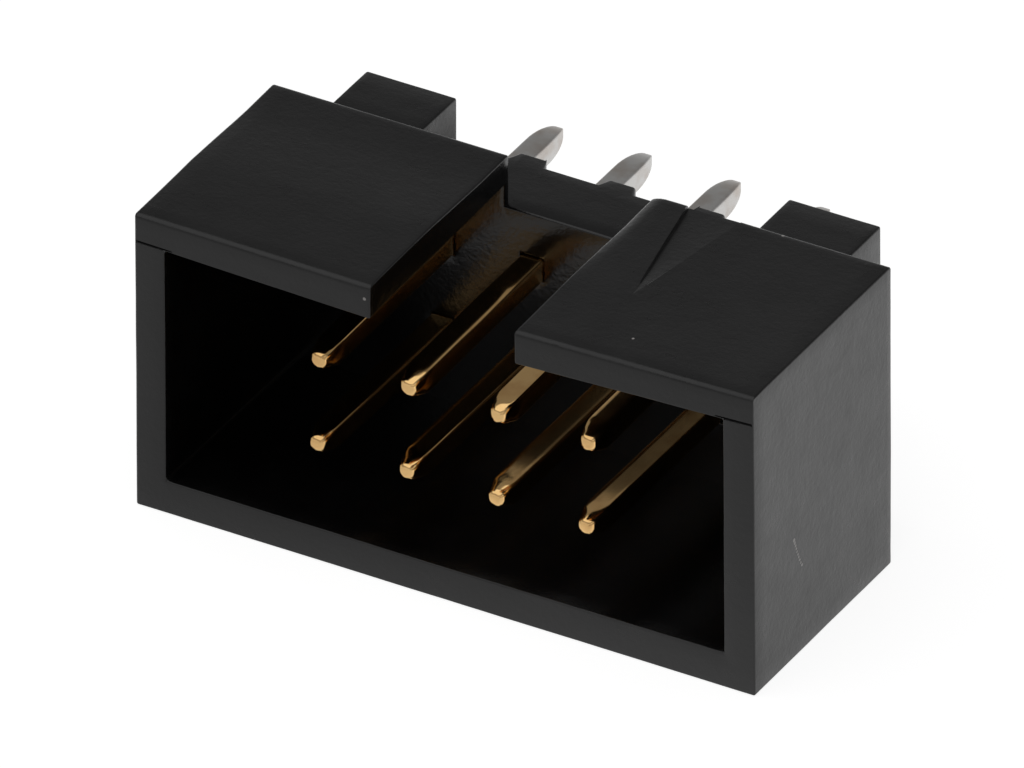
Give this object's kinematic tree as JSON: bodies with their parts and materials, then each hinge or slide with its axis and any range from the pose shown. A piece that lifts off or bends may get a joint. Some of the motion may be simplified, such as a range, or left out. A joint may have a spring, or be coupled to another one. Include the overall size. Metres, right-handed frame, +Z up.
{
  "type": "shrouded box header",
  "caption": "Shrouded board header: an open moulded socket with a key slot in one long wall, two rows of square contacts and straight solder tails.",
  "frame": {"origin": "centre of the bounding box on the surface that the part rests on", "axes": "+X along the contact rows towards the contact 1 end, +Y from the open mouth towards the solder tails, +Z up, out of the long wall with the key slot"},
  "size_m": [0.0176, 0.0124, 0.0087],
  "materials": {
    "housing_plastic": "black glass-filled moulded plastic, satin, faint grain and ejector-side flow marks",
    "contact_plating": "bright gold plating on the mating ends, bright tin plating on the solder tails"
  },
  "bodies": {
    "root": {"housing": "housing_plastic", "pin_1": "contact_plating", "pin_2": "contact_plating", "pin_3": "contact_plating", "pin_4": "contact_plating", "pin_5": "contact_plating", "pin_6": "contact_plating", "pin_7": "contact_plating", "pin_8": "contact_plating"}
  },
  "joints": []
}
